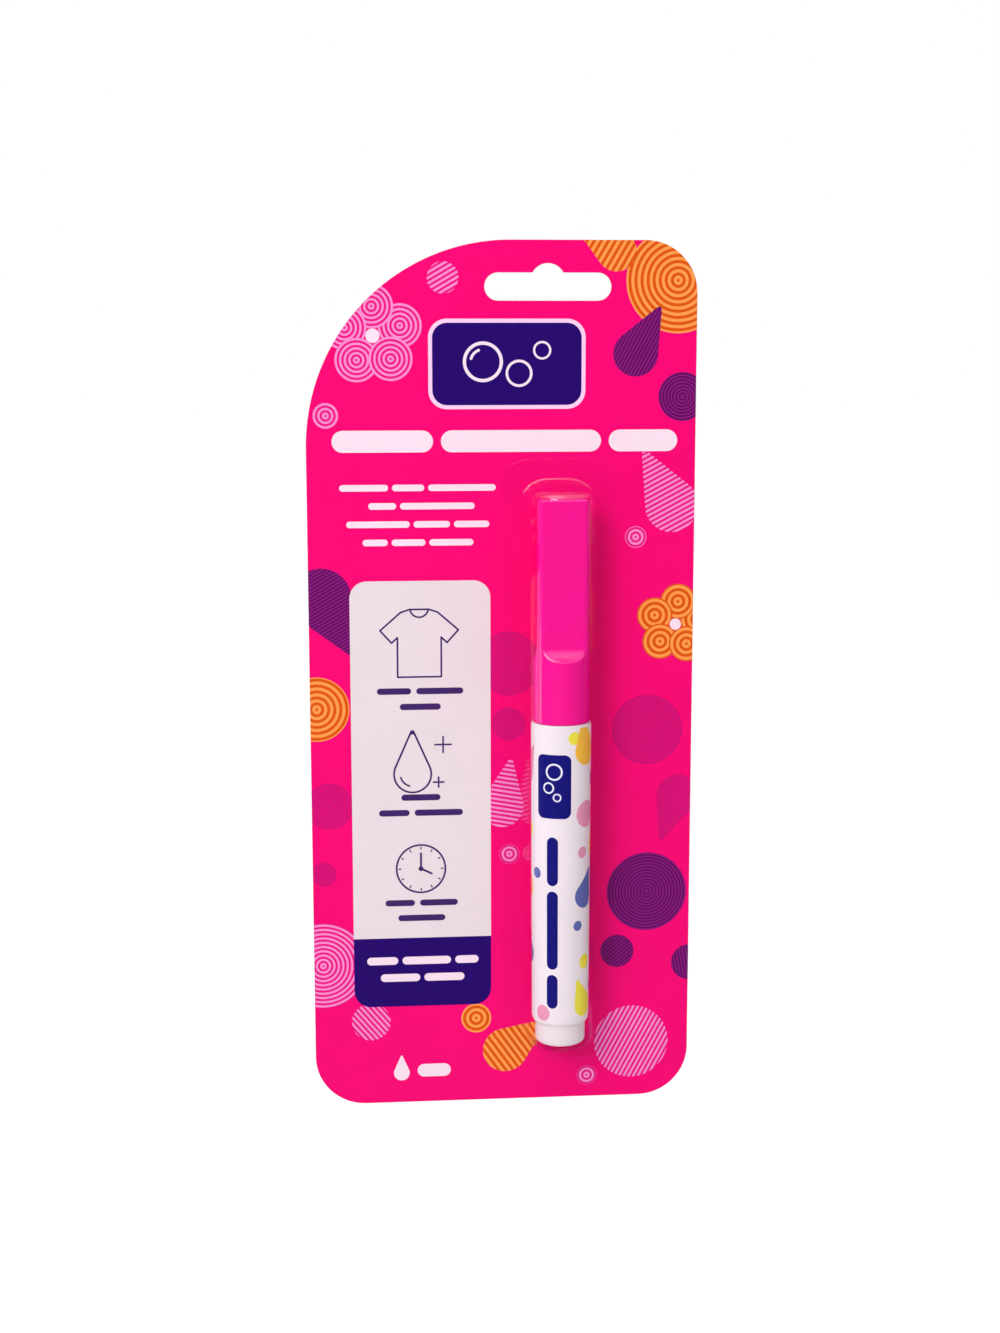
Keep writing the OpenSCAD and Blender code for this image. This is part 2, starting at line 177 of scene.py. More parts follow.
def spread(tree, factor, low, high):
    """Maps the middle of a noise to the range low to high."""
    values = {"Value": factor, "From Min": 0.3, "From Max": 0.7, "To Min": low, "To Max": high}
    return add(tree, "MapRange", values).outputs[0]


def blend_colours(tree, factor, first, second):
    """First colour where the factor is 0 and second where it is 1."""
    made = add(tree, "Mix", {0: factor, 6: first, 7: second}, data_type="RGBA")
    return made.outputs[2]


def bumps(tree, height, depth_mm):
    """Normal of a surface raised by the height, in millimetres."""
    values = {"Height": height, "Distance": depth_mm * MM, "Strength": 1.0}
    return add(tree, "Bump", values).outputs[0]


def principled(tree, values):
    """Principled shader, joined to the material's output."""
    shader = add(tree, "BsdfPrincipled", values)
    add(tree, "OutputMaterial", {"Surface": shader.outputs[0]})
    return shader


def plastic(name, colour, shade, roughness=0.35, cloud_mm=9.0, grain_mm=0.35, extra=None):
    """Moulded plastic: cloudy colour, uneven gloss and a fine skin."""
    material, tree = new_tree(name)
    cloud = spread(tree, noise(tree, cloud_mm), 0, 1)
    grain = noise(tree, grain_mm, detail=3)
    values = {
        "Base Color": blend_colours(tree, cloud, srgb(colour), srgb(shade)),
        "Roughness": spread(tree, grain, roughness - 0.05, roughness + 0.07),
        "Normal": bumps(tree, grain, 0.004),
        "IOR": 1.49,
    }
    values.update(extra or {})
    principled(tree, values)
    return material


def hatch(tree, pattern, pitch, duty):
    """1 on the lines of a motif and 0 between them, from the motif's own coordinates in mm."""
    local = add(tree, "Attribute", attribute_name="ink_local").outputs["Vector"]
    if pattern == "rings":
        along = add(tree, "VectorMath", {0: local}, operation="LENGTH").outputs["Value"]
    else:
        along = add(tree, "SeparateXYZ", {0: local}).outputs["Y"]
    wave = add(tree, "Math", {0: along, 1: pitch / 2}, operation="PINGPONG").outputs[0]
    edge = pitch / 2 * (1 - duty)
    soft = 0.03
    values = {"Value": wave, "From Min": edge - soft, "From Max": edge + soft}
    return add(tree, "MapRange", values).outputs[0]


def ink(name, colour, line=None, pattern="rings", pitch=1.0, duty=0.5, gloss=0.34):
    """Ink under a thin varnish, plain or hatched in a second colour."""
    material, tree = new_tree(name)
    base = srgb(colour)
    if line:
        base = blend_colours(tree, hatch(tree, pattern, pitch, duty), base, srgb(line))
    cloud = spread(tree, noise(tree, 14, detail=3), 0.0, 0.06)
    dots = spread(tree, noise(tree, 0.22, detail=1), 0.0, 0.05)
    shade = add(tree, "Math", {0: cloud, 1: dots}, operation="ADD").outputs[0]
    dark = tuple(0.72 * value for value in colour)
    tone = blend_colours(tree, shade, base, srgb(dark))
    fibre = noise(tree, 0.5, detail=4, roughness=0.6)
    values = {
        "Base Color": tone,
        "Roughness": spread(tree, fibre, gloss - 0.04, gloss + 0.08),
        "Normal": bumps(tree, fibre, 0.006),
        "Specular IOR Level": 0.08,
    }
    principled(tree, values)
    return material


def board(name):
    """Uncoated grey-white board with short fibres."""
    material, tree = new_tree(name)
    fibre = noise(tree, 0.6, detail=5, roughness=0.65, stretch=(1, 1, 0.35))
    fleck = spread(tree, noise(tree, 2.2, detail=4), 0, 1)
    values = {
        "Base Color": blend_colours(tree, fleck, srgb((226, 222, 214)), srgb((214, 208, 199))),
        "Roughness": spread(tree, fibre, 0.78, 0.92),
        "Normal": bumps(tree, fibre, 0.02),
        "Specular IOR Level": 0.25,
    }
    principled(tree, values)
    return material


def clear_sheet(name):
    """Thin clear plastic that shows what is behind. Its upward-facing bends, most round the top end, get a
    painted highlight: a larger share of mirror.
    """
    material, tree = new_tree(name)
    wave = noise(tree, 7, detail=1, stretch=(1, 1, 0.5))
    bump = bumps(tree, wave, 0.05)
    facing = add(tree, "LayerWeight", {"Blend": 0.5, "Normal": bump}).outputs["Facing"]
    steep = add(tree, "Math", {0: facing, 1: 5.0}, operation="POWER").outputs[0]
    share = add(tree, "MapRange", {"Value": steep, "To Min": 0.002, "To Max": 0.6}).outputs[0]
    # Painted highlight: extra mirror share where the surface faces upward in the part's own frame, whatever
    # the lamps
    upward = add(tree, "SeparateXYZ", {0: add(tree, "TexCoord").outputs["Normal"]}).outputs["Z"]
    rise = {"Value": upward, "From Min": 0.1, "From Max": 0.4, "To Max": 0.03}
    fall = {"Value": upward, "From Min": 0.65, "From Max": 0.9, "To Min": 1, "To Max": 0.2}
    rising, falling = (add(tree, "MapRange", values).outputs[0] for values in (rise, fall))
    glint = add(tree, "Math", {0: rising, 1: falling}, operation="MULTIPLY").outputs[0]
    share = add(tree, "Math", {0: share, 1: glint}, operation="ADD").outputs[0]
    gloss = spread(tree, noise(tree, 3), 0.05, 0.12)
    mirror = add(tree, "BsdfGlossy", {"Color": (1, 1, 1, 1), "Roughness": gloss, "Normal": bump})
    through = add(tree, "BsdfTransparent", {"Color": (0.997, 0.997, 0.997, 1)})
    scattered = add(tree, "LightPath").outputs["Is Diffuse Ray"]
    clear = add(tree, "Math", {0: 1.0, 1: scattered}, operation="SUBTRACT").outputs[0]
    share = add(tree, "Math", {0: share, 1: clear}, operation="MULTIPLY").outputs[0]
    mixed = add(tree, "MixShader", {0: share, 1: through.outputs[0], 2: mirror.outputs[0]})
    add(tree, "OutputMaterial", {"Surface": mixed.outputs[0]})
    return material


def steel(name):
    """Drawn spring wire."""
    material, tree = new_tree(name)
    streak = noise(tree, 0.3, detail=3, stretch=(1, 1, 4))
    values = {
        "Base Color": blend_colours(tree, streak, srgb((196, 198, 202)), srgb((168, 170, 176))),
        "Metallic": 1.0,
        "Roughness": spread(tree, streak, 0.18, 0.34),
        "Normal": bumps(tree, streak, 0.003),
    }
    principled(tree, values)
    return material


def felt(name):
    """Bonded fibres of the nib."""
    material, tree = new_tree(name)
    strands = noise(tree, 0.16, detail=3, roughness=0.6, stretch=(1, 1, 0.12))
    blotch = spread(tree, noise(tree, 1.4), 0, 1)
    values = {
        "Base Color": blend_colours(tree, blotch, srgb((243, 240, 230)), srgb((228, 223, 208))),
        "Roughness": spread(tree, strands, 0.75, 0.95),
        "Normal": bumps(tree, strands, 0.03),
        "Sheen Weight": 0.2,
    }
    principled(tree, values)
    return material


# ---- Flat shapes, in millimetres


def arc(x, y, r, a0, a1, steps):
    """Points of an arc from a0 to a1 degrees."""
    angles = [math.radians(a0 + (a1 - a0) * i / steps) for i in range(steps + 1)]
    return [(x + r * math.cos(a), y + r * math.sin(a)) for a in angles]


def disc(x, y, r):
    """Points of a full circle."""
    steps = 64
    return arc(x, y, r, 0, 360 * (steps - 1) / steps, steps - 1)


def round_box(x0, y0, x1, y1, r, steps=6):
    """Box with round corners, from its lower left to its upper right."""
    return (
        arc(x1 - r, y0 + r, r, 270, 360, steps)
        + arc(x1 - r, y1 - r, r, 0, 90, steps)
        + arc(x0 + r, y1 - r, r, 90, 180, steps)
        + arc(x0 + r, y0 + r, r, 180, 270, steps)
    )


def stroke(a, b, width, steps=5):
    """Line from a to b with round ends."""
    turn = math.degrees(math.atan2(b[1] - a[1], b[0] - a[0]))
    r = width / 2
    return arc(b[0], b[1], r, turn - 90, turn + 90, steps) + arc(a[0], a[1], r, turn + 90, turn + 270, steps)


def drop(x, y, r, turn):
    """Round drop whose point is reach radii from its middle, towards turn degrees."""
    reach, steps = 2.3, 40
    open_a = math.degrees(math.acos(1 / reach))
    tip_r = 0.12 * r
    tip = reach * r - tip_r
    points = arc(0, 0, r, open_a, 360 - open_a, steps) + arc(tip, 0, tip_r, -open_a, open_a, 6)
    c, s = math.cos(math.radians(turn)), math.sin(math.radians(turn))
    return [(x + c * px - s * py, y + s * px + c * py) for px, py in points]


def card_loop():
    """Outline of the card, with its one sweeping corner."""
    r = CORNER_R
    return (
        arc(r, r, r, 180, 270, 16)
        + arc(CARD_W - r, r, r, 270, 360, 16)
        + arc(CARD_W - r, CARD_H - r, r, 0, 90, 16)
        + arc(SWEEP_R, CARD_H - SWEEP_R, SWEEP_R, 90, 180, 60)
    )


def slot_loop():
    """Outline of the hang slot, with the bump that rides on the peg."""
    r = SLOT_H / 2
    y = CARD_H - SLOT_DROP - r
    end = SLOT_W / 2 - r
    half = BUMP_W / 2
    crown = (half * half + BUMP_H * BUMP_H) / (2 * BUMP_H)
    a = math.degrees(math.asin((crown - BUMP_H) / crown))
    return (
        arc(SLOT_X + end, y, r, -90, 90, 16)
        + arc(SLOT_X, y + r + BUMP_H - crown, crown, a, 180 - a, 12)
        + arc(SLOT_X - end, y, r, 90, 270, 16)
    )


class Print:
    """Shapes painted one over another on a sheet. Each has an ink and its own frame for hatching."""

    def __init__(self, loop, paint):
        self.shapes = []
        self.holes = set()
        self.put(loop, paint)

    def put(self, loop, paint, x=0.0, y=0.0, turn=0.0):
        """Paints a shape over the ones before it."""
        area = sum(a[0] * b[1] - b[0] * a[1] for a, b in zip(loop, loop[1:] + loop[:1]))
        self.shapes.append((loop if area > 0 else loop[::-1], paint, x, y, math.radians(turn)))

    def hole(self, loop):
        """Cuts a shape out of the sheet."""
        self.holes.add(len(self.shapes))
        self.put(loop, None)

    def ball(self, x, y, r, paint, turn=0.0):
        """Full disc."""
        self.put(disc(x, y, r), paint, x, y, turn)

    def ring(self, x, y, r, width, paint, inside):
        """Disc with a rim of another ink."""
        self.ball(x, y, r, paint)
        self.ball(x, y, r - width, inside)

    def drop(self, x, y, r, turn, paint, lines=0.0):
        """Pointed drop, whose hatching is turned from its own direction by lines."""
        self.put(drop(x, y, r, turn), paint, x, y, turn + lines)

    def blossom(self, x, y, r, petal_r, turn, paint, heart):
        """Five round petals about a heart."""
        for i in range(5):
            a = math.radians(turn + 72 * i)
            self.ball(x + r * math.cos(a), y + r * math.sin(a), petal_r, paint)
        self.ball(x, y, 0.32 * petal_r, heart)

    def bars(self, x, y, widths, height, gap, paint, upright=False):
        """Row of plain bars, in place of a line of words."""
        for width in widths:
            if upright:
                self.put(round_box(x - height / 2, y - width, x + height / 2, y, height / 2), paint)
                y -= width + gap
            else:
                self.put(round_box(x, y - height / 2, x + width, y + height / 2, height / 2), paint)
                x += width + gap

    def strokes(self, points, width, paint):
        """Line through the points."""
        for a, b in zip(points, points[1:]):
            self.put(stroke(a, b, width), paint)

    def cut(self, grid=()):
        """Triangles of the sheet, each with the shape painted last there."""
        points, faces, edges = [], [], []
        for shape in self.shapes:
            first = len(points)
            points += [Vector(p) for p in shape[0]]
            faces.append(list(range(first, len(points))))
        for a, b in grid:
            edges.append((len(points), len(points) + 1))
            points += [Vector(a), Vector(b)]
        verts, _, tris, _, _, owners = delaunay_2d_cdt(points, edges, faces, 1, 1e-4)
        kept = []
        for tri, under in zip(tris, owners):
            if 0 in under and not self.holes & set(under):
                a, b, c = (verts[i] for i in tri)
                forward = (b - a).cross(c - a) > 0
                kept.append((tri if forward else tri[::-1], max(under)))
        used = sorted({i for tri, _ in kept for i in tri})
        index = {old: new for new, old in enumerate(used)}
        triangles = [([index[i] for i in tri], shape) for tri, shape in kept]
        return [verts[i] for i in used], triangles


def border_of(points, triangles):
    """Edges with a triangle on one side only, and each border point's way out."""
    directed = {(t[i], t[(i + 1) % 3]) for t, _ in triangles for i in range(3)}
    edges = [(a, b) for a, b in sorted(directed) if (b, a) not in directed]
    ways = {}
    for a, b in edges:
        along = (points[b] - points[a]).normalized()
        for i in (a, b):
            ways.setdefault(i, []).append(Vector((along.y, -along.x)))
    out = {}
    for i, normals in ways.items():
        total = sum(normals, Vector((0, 0)))
        out[i] = total.normalized() if total.length > 1e-6 else normals[0]
    return edges, out


def sheet_points(points, out, place, rings):
    """Points of a closed sheet, and the numbers of those on its front, round its edge and on its back."""
    verts = []
    for i, p in enumerate(points):
        shift = out[i] * rings[0][0] if i in out else Vector((0, 0))
        verts.append(place(p + shift, 0))
    ring_index = [{i: i for i in out}]
    for outwards, deep in rings[1:]:
        ring_index.append({})
        for i in out:
            ring_index[-1][i] = len(verts)
            verts.append(place(points[i] + out[i] * outwards, deep))
    behind = []
    for i, p in enumerate(points):
        if i in out:
            behind.append(ring_index[-1][i])
        else:
            behind.append(len(verts))
            verts.append(place(p, rings[-1][1]))
    return verts, ring_index, behind


def sheet_piece(name, printed, place, rings, inks, edge, back, grid=()):
    """Closed sheet: painted front, edge through the rings, each (outwards, depth), and plain back."""
    points, triangles = printed.cut(grid)
    edges, out = border_of(points, triangles)
    verts, ring_index, behind = sheet_points(points, out, place, rings)
    names = sorted({shape[1] for shape in printed.shapes if shape[1]}) + [edge, back]
    faces, slots, locals_ = [], [], []
    for tri, shape in triangles:
        _, paint, x, y, turn = printed.shapes[shape]
        faces.append(list(tri))
        slots.append(names.index(paint))
        c, s = math.cos(turn), math.sin(turn)
        for i in tri:
            px, py = points[i].x - x, points[i].y - y
            locals_.append((c * px + s * py, -s * px + c * py, 0))
    for upper, lower in zip(ring_index, ring_index[1:]):
        for a, b in edges:
            faces.append([upper[b], upper[a], lower[a], lower[b]])
            slots.append(len(names) - 2)
            locals_ += [(0, 0, 0)] * 4
    for tri, _ in triangles:
        faces.append([behind[i] for i in reversed(tri)])
        slots.append(len(names) - 1)
        locals_ += [(0, 0, 0)] * 3
    mesh = bpy.data.meshes.new(name)
    mesh.from_pydata(verts, [], faces)
    for paint in names:
        mesh.materials.append(inks[paint])
    mesh.polygons.foreach_set("material_index", slots)
    local = mesh.attributes.new("ink_local", "FLOAT_VECTOR", "CORNER")
    local.data.foreach_set("vector", [v for point in locals_ for v in point])
    piece = bpy.data.objects.new(name, mesh)
    bpy.context.scene.collection.objects.link(piece)
    return piece, len(triangles)


def mesh_piece(name, verts, faces, material, smooth=True):
    """Mesh object in the scene, in metres from points in millimetres."""
    mesh = bpy.data.meshes.new(name)
    mesh.from_pydata([Vector(v) * MM for v in verts], [], faces)
    mesh.materials.append(material)
    mesh.polygons.foreach_set("use_smooth", [smooth] * len(mesh.polygons))
    piece = bpy.data.objects.new(name, mesh)
    bpy.context.scene.collection.objects.link(piece)
    return piece


def loft(name, rows, material, poles=(False, False), weld_mm=0.0):
    """Surface through closed rows of points, with a point at either end for a pole."""
    verts = [p for row in rows for p in row]
    count = len(rows[0])
    faces = []
    for k in range(len(rows) - 1):
        for i in range(count):
            j = (i + 1) % count
            faces.append([k * count + i, k * count + j, (k + 1) * count + j, (k + 1) * count + i])
    for which, k in ((0, 0), (1, len(rows) - 1)):
        if poles[which]:
            middle = sum((Vector(p) for p in rows[k]), Vector()) / count
            verts.append(middle)
            for i in range(count):
                j = (i + 1) % count
                edge = [k * count + j, k * count + i] if which == 0 else [k * count + i, k * count + j]
                faces.append(edge + [len(verts) - 1])
    piece = mesh_piece(name, verts, faces, material)
    bm = bmesh.new()
    bm.from_mesh(piece.data)
    if weld_mm:
        bmesh.ops.remove_doubles(bm, verts=bm.verts, dist=weld_mm * MM)
        bmesh.ops.dissolve_degenerate(bm, edges=bm.edges, dist=weld_mm * MM)
    bmesh.ops.recalc_face_normals(bm, faces=bm.faces)
    bm.to_mesh(piece.data)
    bm.free()
    return piece


def sharpen(piece, degrees):
    """Keeps edges sharper than this angle crisp under smooth shading."""
    piece.data.set_sharp_from_angle(angle=math.radians(degrees))


# ---- The printed card


def on_card(x, z, out=0.0):
    """Point in the part's frame, in mm, out from the card's front."""
    return Vector((x - SLOT_X, -BOARD_T - out, z - HANG_Z))


def shirt(art, x, y, s, paint, inside):
    """Outline of a plain shirt."""
    half = [(2.3, 7.6), (4.4, 6.9), (9.3, 2.6), (6.6, -0.4), (5.2, 0.9), (5.2, -8.6)]
    body = [(x + s * px, y + s * py) for px, py in half]
    body += [(x - s * px, y + s * py) for px, py in reversed(half)]
    art.put(body, inside)
    art.strokes(body + body[:1], SIGN_LINE, paint)
    art.strokes(arc(x, y + s * 7.9, 2.2 * s, 190, 350, 8), SIGN_LINE, paint)


def clock(art, x, y, r, paint, inside):
    """Plain round clock with two hands and hour marks."""
    art.ring(x, y, r, RIM_LINE, paint, inside)
    for i in range(12):
        a = math.radians(30 * i)
        c, s = math.cos(a), math.sin(a)
        inner = (x + 0.8 * r * c, y + 0.8 * r * s)
        outer = (x + 0.87 * r * c, y + 0.87 * r * s)
        art.put(stroke(inner, outer, MARK_LINE), paint)
    art.put(stroke((x, y), (x, y + 0.62 * r), HAND_LINE), paint)
    art.put(stroke((x, y), (x + 0.42 * r, y - 0.2 * r), HAND_LINE), paint)
    art.ball(x, y, 0.6, paint)


def sparkle_drop(art, x, y, paint, inside):
    """Drop with two small crosses of light."""
    art.drop(x - 1.2, y - 2.6, 4.6, 90, paint)
    art.drop(x - 1.2, y - 2.6, 4.15, 90, inside)
    for cx, cy, size in ((x + 6.0, y + 4.4, 1.9), (x + 4.9, y - 4.6, 1.2)):
        art.put(stroke((cx - size, cy), (cx + size, cy), CROSS_LINE), paint)
        art.put(stroke((cx, cy - size), (cx, cy + size), CROSS_LINE), paint)
    art.strokes(arc(x - 1.2, y - 2.6, 2.9, 195, 255, 6), SIGN_LINE, paint)


def card_motifs(art):
    """Blossoms, bubbles and drops scattered round the card's margins."""
    art.blossom(15.5, 182.5, 6.6, 5.0, 20, "pale_rings", "soft")
    art.ball(31.5, 195.5, 3.6, "pale_stripes", 30)
    art.ball(4.6, 164.5, 3.0, "pale_rings")
    art.ball(85.5, 195.0, 12.0, "orange_rings")
    art.drop(71.2, 201.5, 4.6, 150, "orange_stripes", 90)
    art.drop(75.8, 178.4, 5.2, 62, "purple_stripes")
    art.ball(86.8, 168.6, 5.6, "purple_rings")
    art.drop(84.6, 143.5, 6.2, 118, "pale_stripes", 90)
    art.ball(76.2, 136.2, 2.5, "pale_rings")
    art.blossom(85.8, 115.6, 5.4, 4.2, 12, "orange_rings", "soft")
    art.ball(79.4, 90.5, 8.4, "rose_rings")
    art.drop(86.8, 74.5, 5.0, 250, "rose_stripes")
    art.ball(79.6, 51.0, 9.6, "purple_rings")
    art.ball(72.6, 36.4, 4.0, "purple_stripes", 40)
    art.ball(90.2, 33.2, 4.4, "purple_stripes", 100)
    art.ball(76.2, 13.6, 9.0, "pale_stripes", 62)
    art.ball(65.4, 5.4, 2.4, "pale_rings")
    art.drop(45.6, 12.4, 5.4, 35, "orange_stripes", 90)
    art.ball(38.6, 20.6, 3.6, "orange_rings")
    art.ball(2.2, 34.6, 10.6, "pale_rings")
    art.ball(13.4, 20.4, 4.6, "pale_stripes", 130)
    art.drop(3.0, 122.6, 7.0, 300, "purple_stripes", 90)
    art.ball(1.6, 96.6, 7.6, "orange_rings")
    art.ball(4.2, 73.4, 5.6, "rose_rings")
    art.ball(2.6, 57.0, 3.0, "rose_stripes", 20)
    art.ball(46.4, 106.8, 7.6, "rose_rings")
    art.ball(46.4, 92.4, 4.0, "rose_stripes", 60)
    art.drop(45.0, 72.6, 5.0, 80, "pale_stripes", 90)
    art.ball(46.6, 61.0, 2.4, "pale_rings")


def card_head(art):
    """Plate with bubbles, and bars in place of the headline and the lines under it."""
    art.put(round_box(28.1, 165.9, 64.2, 186.3, 4.2, 10), "lilac")
    art.put(round_box(29.0, 166.8, 63.3, 185.4, 3.4, 10), "navy")
    art.ring(40.6, 176.6, 4.6, 0.75, "soft", "navy")
    art.ring(48.9, 174.0, 3.1, 0.6, "soft", "navy")
    art.ring(54.2, 179.2, 2.1, 0.5, "soft", "navy")
    art.strokes(arc(40.6, 176.6, 2.8, 110, 165, 6), 0.6, "soft")
    art.bars(5.9, 158.6, (23.2, 37.0, 16.0), 5.0, 1.8, "soft")
    for y, x, widths in (
        (148.0, 7.5, (11.2, 7.4, 15.6)),
        (143.8, 14.1, (6.4, 17.2)),
        (139.6, 9.0, (14.6, 8.4, 8.2)),
        (135.4, 12.7, (5.8, 7.8, 10.2)),
    ):
        art.bars(x, y, widths, TEXT_BAR, 0.9, "soft")


def card_panel(art):
    """Panel with three signs and bars in place of words, and the drop near the card's foot."""
    left, right, foot, top, split, r = 9.5, 42.2, 24.1, 126.5, 41.0, 4.0
    art.put(round_box(left, foot, right, top, r, 10), "navy")
    pale = arc(right - r, top - r, r, 0, 90, 10) + arc(left + r, top - r, r, 90, 180, 10)
    art.put(pale + [(left, split), (right, split)], "panel")
    shirt(art, 25.6, 112.4, 0.98, "sign", "panel")
    sparkle_drop(art, 25.0, 83.4, "sign", "panel")
    clock(art, 25.6, 57.9, 6.0, "sign", "panel")
    middle, gap = 25.7, 1.2
    for y, rows in (
        (100.6, ((8.0, 11.0), (9.6,))),
        (75.2, ((9.2,), (7.2, 11.4))),
        (49.6, ((7.0, 9.0), (11.2,))),
    ):
        for row, widths in enumerate(rows):
            total = sum(widths) + gap * (len(widths) - 1)
            art.bars(middle - total / 2, y - TEXT_STEP * row, widths, TEXT_BAR, gap, "sign")
    art.bars(12.6, 35.4, (7.4, 11.6, 5.6), 1.9, 1.0, "soft")
    art.bars(15.8, 31.2, (9.4, 9.6), 1.9, 1.0, "soft")
    art.drop(20.6, 7.4, 1.9, 90, "soft")
    art.bars(24.4, 7.9, (8.0,), 3.2, 1.0, "soft")


def card_inks():
    """Inks of the card, plain and hatched, and its bare board."""
    inks = {
        "ground": ink("ink_pink", PINK),
        "soft": ink("ink_soft_white", SOFT_WHITE),
        "lilac": ink("ink_lilac", (247, 205, 240)),
        "navy": ink("ink_navy", NAVY),
        "panel": ink("ink_panel", PAPER_WHITE),
        "sign": ink("ink_sign", (66, 38, 104)),
        "board": board("board_white"),
    }
    for key, colour, line, pitch, duty in (
        ("pale", (236, 12, 128), (246, 142, 208), 1.05, 0.5),
        ("orange", (222, 84, 14), (255, 158, 78), 1.4, 0.5),
        ("purple", (92, 8, 96), (142, 26, 122), 0.75, 0.45),
        ("rose", (226, 2, 112), (200, 14, 122), 0.7, 0.5),
    ):
        for pattern in ("rings", "stripes"):
            title = f"{key}_{pattern}"
            inks[title] = ink(f"ink_{title}", colour, line, pattern, pitch, duty)
    return inks


def map_card(piece, count):
    """Flat map for the card: the front large, the back and the edge beside it."""
    layer = piece.data.uv_layers.new(name="OFBake")
    share, margin = 0.8, 0.004
    for polygon in piece.data.polygons:
        for loop in polygon.loop_indices:
            p = piece.data.vertices[piece.data.loops[loop].vertex_index].co / MM
            u = (p.x + SLOT_X) / CARD_W
            v = margin + (1 - 2 * margin) * (p.z + HANG_Z) / CARD_H
            if polygon.index < count:
                place = (margin + (share - 2 * margin) * u, v)
            else:
                place = (share + margin + (1 - share - 2 * margin) * u, v)
            layer.data[loop].uv = place


def make_card():
    """Printed card with its slot, its edges and its plain back."""
    art = Print(card_loop(), "ground")
    card_motifs(art)
    card_head(art)
    card_panel(art)
    art.hole(slot_loop())
    rings = ((-0.07, 0.0), (-0.02, 0.02), (0.0, 0.08), (0.0, BOARD_T - 0.03), (-0.03, BOARD_T))
    piece, count = sheet_piece(
        "printed_card",
        art,
        lambda p, deep: on_card(p.x, p.y, -deep) * MM,
        rings,
        card_inks(),
        "board",
        "board",
    )
    map_card(piece, count)
    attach(piece, "card")
    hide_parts("backing_card")


# ---- The blister


def blister_columns():
    """Directions round the bubble: the way the wall faces, and the place along the straight stretches."""
    sides, corners, ends = 12, 16, 4
    columns = []
    for start, along in ((0, "y"), (90, "x"), (180, "-y"), (270, "-x")):
        count = sides if "y" in along else ends
        for i in range(count + 1):
            s = -1 + 2 * i / count
            sx, sy = {"y": (1, s), "x": (-s, 1), "-y": (-1, -s), "-x": (s, -1)}[along]
            columns.append((math.radians(start), sx, sy))
        for i in range(1, corners):
            phi = math.radians(start + 90 * i / corners)
            columns.append((phi, math.copysign(1, math.cos(phi)), math.copysign(1, math.sin(phi))))
    return columns


def outline_point(column, half_w, low, high, r):
    """Point of a rounded rectangle where its outline faces the column's way."""
    phi, sx, sy = column
    x = sx * (half_w - r) + r * math.cos(phi)
    y = (low + high) / 2 + sy * ((high - low) / 2 - r) + r * math.sin(phi)
    return Vector((x, y))


def roof_point(column, tilt, t):
    """Point of the roof whose normal faces the column's way, tilted up by tilt."""
    phi, _, sy = column
    e = ROOF_EDGE_R
    r = ROOF_R + t - e
    half = (BUBBLE_HIGH - BUBBLE_LOW) / 2 + t - e
    nx = math.cos(phi) * math.cos(tilt)
    ny = math.sin(phi) * math.cos(tilt)
    nh = math.sin(tilt)
    flat = math.hypot(nx, nh)
    y = (BUBBLE_LOW + BUBBLE_HIGH) / 2 + sy * half + e * ny
    return Vector((r * nx / flat + e * nx, y, PEN_OUT + r * nh / flat + e * nh))


def wall_tilt(column, t):
    """Tilt at which one plane touches both the roof and the outline on the card."""
    phi = column[0]
    e = ROOF_EDGE_R
    half_w = ROOF_R + SIDE_DRAFT + t
    half_l = (BUBBLE_HIGH - BUBBLE_LOW) / 2 + t
    r = BUBBLE_R + t
    c, s = abs(math.cos(phi)), abs(math.sin(phi))
    base = (half_w - r) * c + (half_l + END_DRAFT - r) * s + r
    low, high = 0.0, math.pi / 2
    for _ in range(40):
        b = (low + high) / 2
        roof = (ROOF_R + t - e) * math.hypot(c * math.cos(b), math.sin(b))
        roof += (half_l - e) * s * math.cos(b) + e + PEN_OUT * math.sin(b)
        if roof > base * math.cos(b):
            high = b
        else:
            low = b
    return (low + high) / 2


def bubble_profile(column, t, rows, fillet_r):
    """Points of one column from the ridge down to the foot of the wall."""
    tilt = wall_tilt(column, t)
    r = BUBBLE_R + t
    low = BUBBLE_LOW - t - END_DRAFT
    high = BUBBLE_HIGH + t + END_DRAFT
    foot = outline_point(column, ROOF_R + SIDE_DRAFT + t, low, high, r)
    points = [roof_point(column, math.pi / 2 - (math.pi / 2 - tilt) * i / rows, t) for i in range(rows + 1)]
    top = points[-1]
    start = Vector((foot.x, foot.y, 0))
    for i in (1, 2):
        height = top.z + (fillet_r + SHEET_T - top.z) * i / 2
        points.append(start + (top - start) * (height / top.z))
    return points


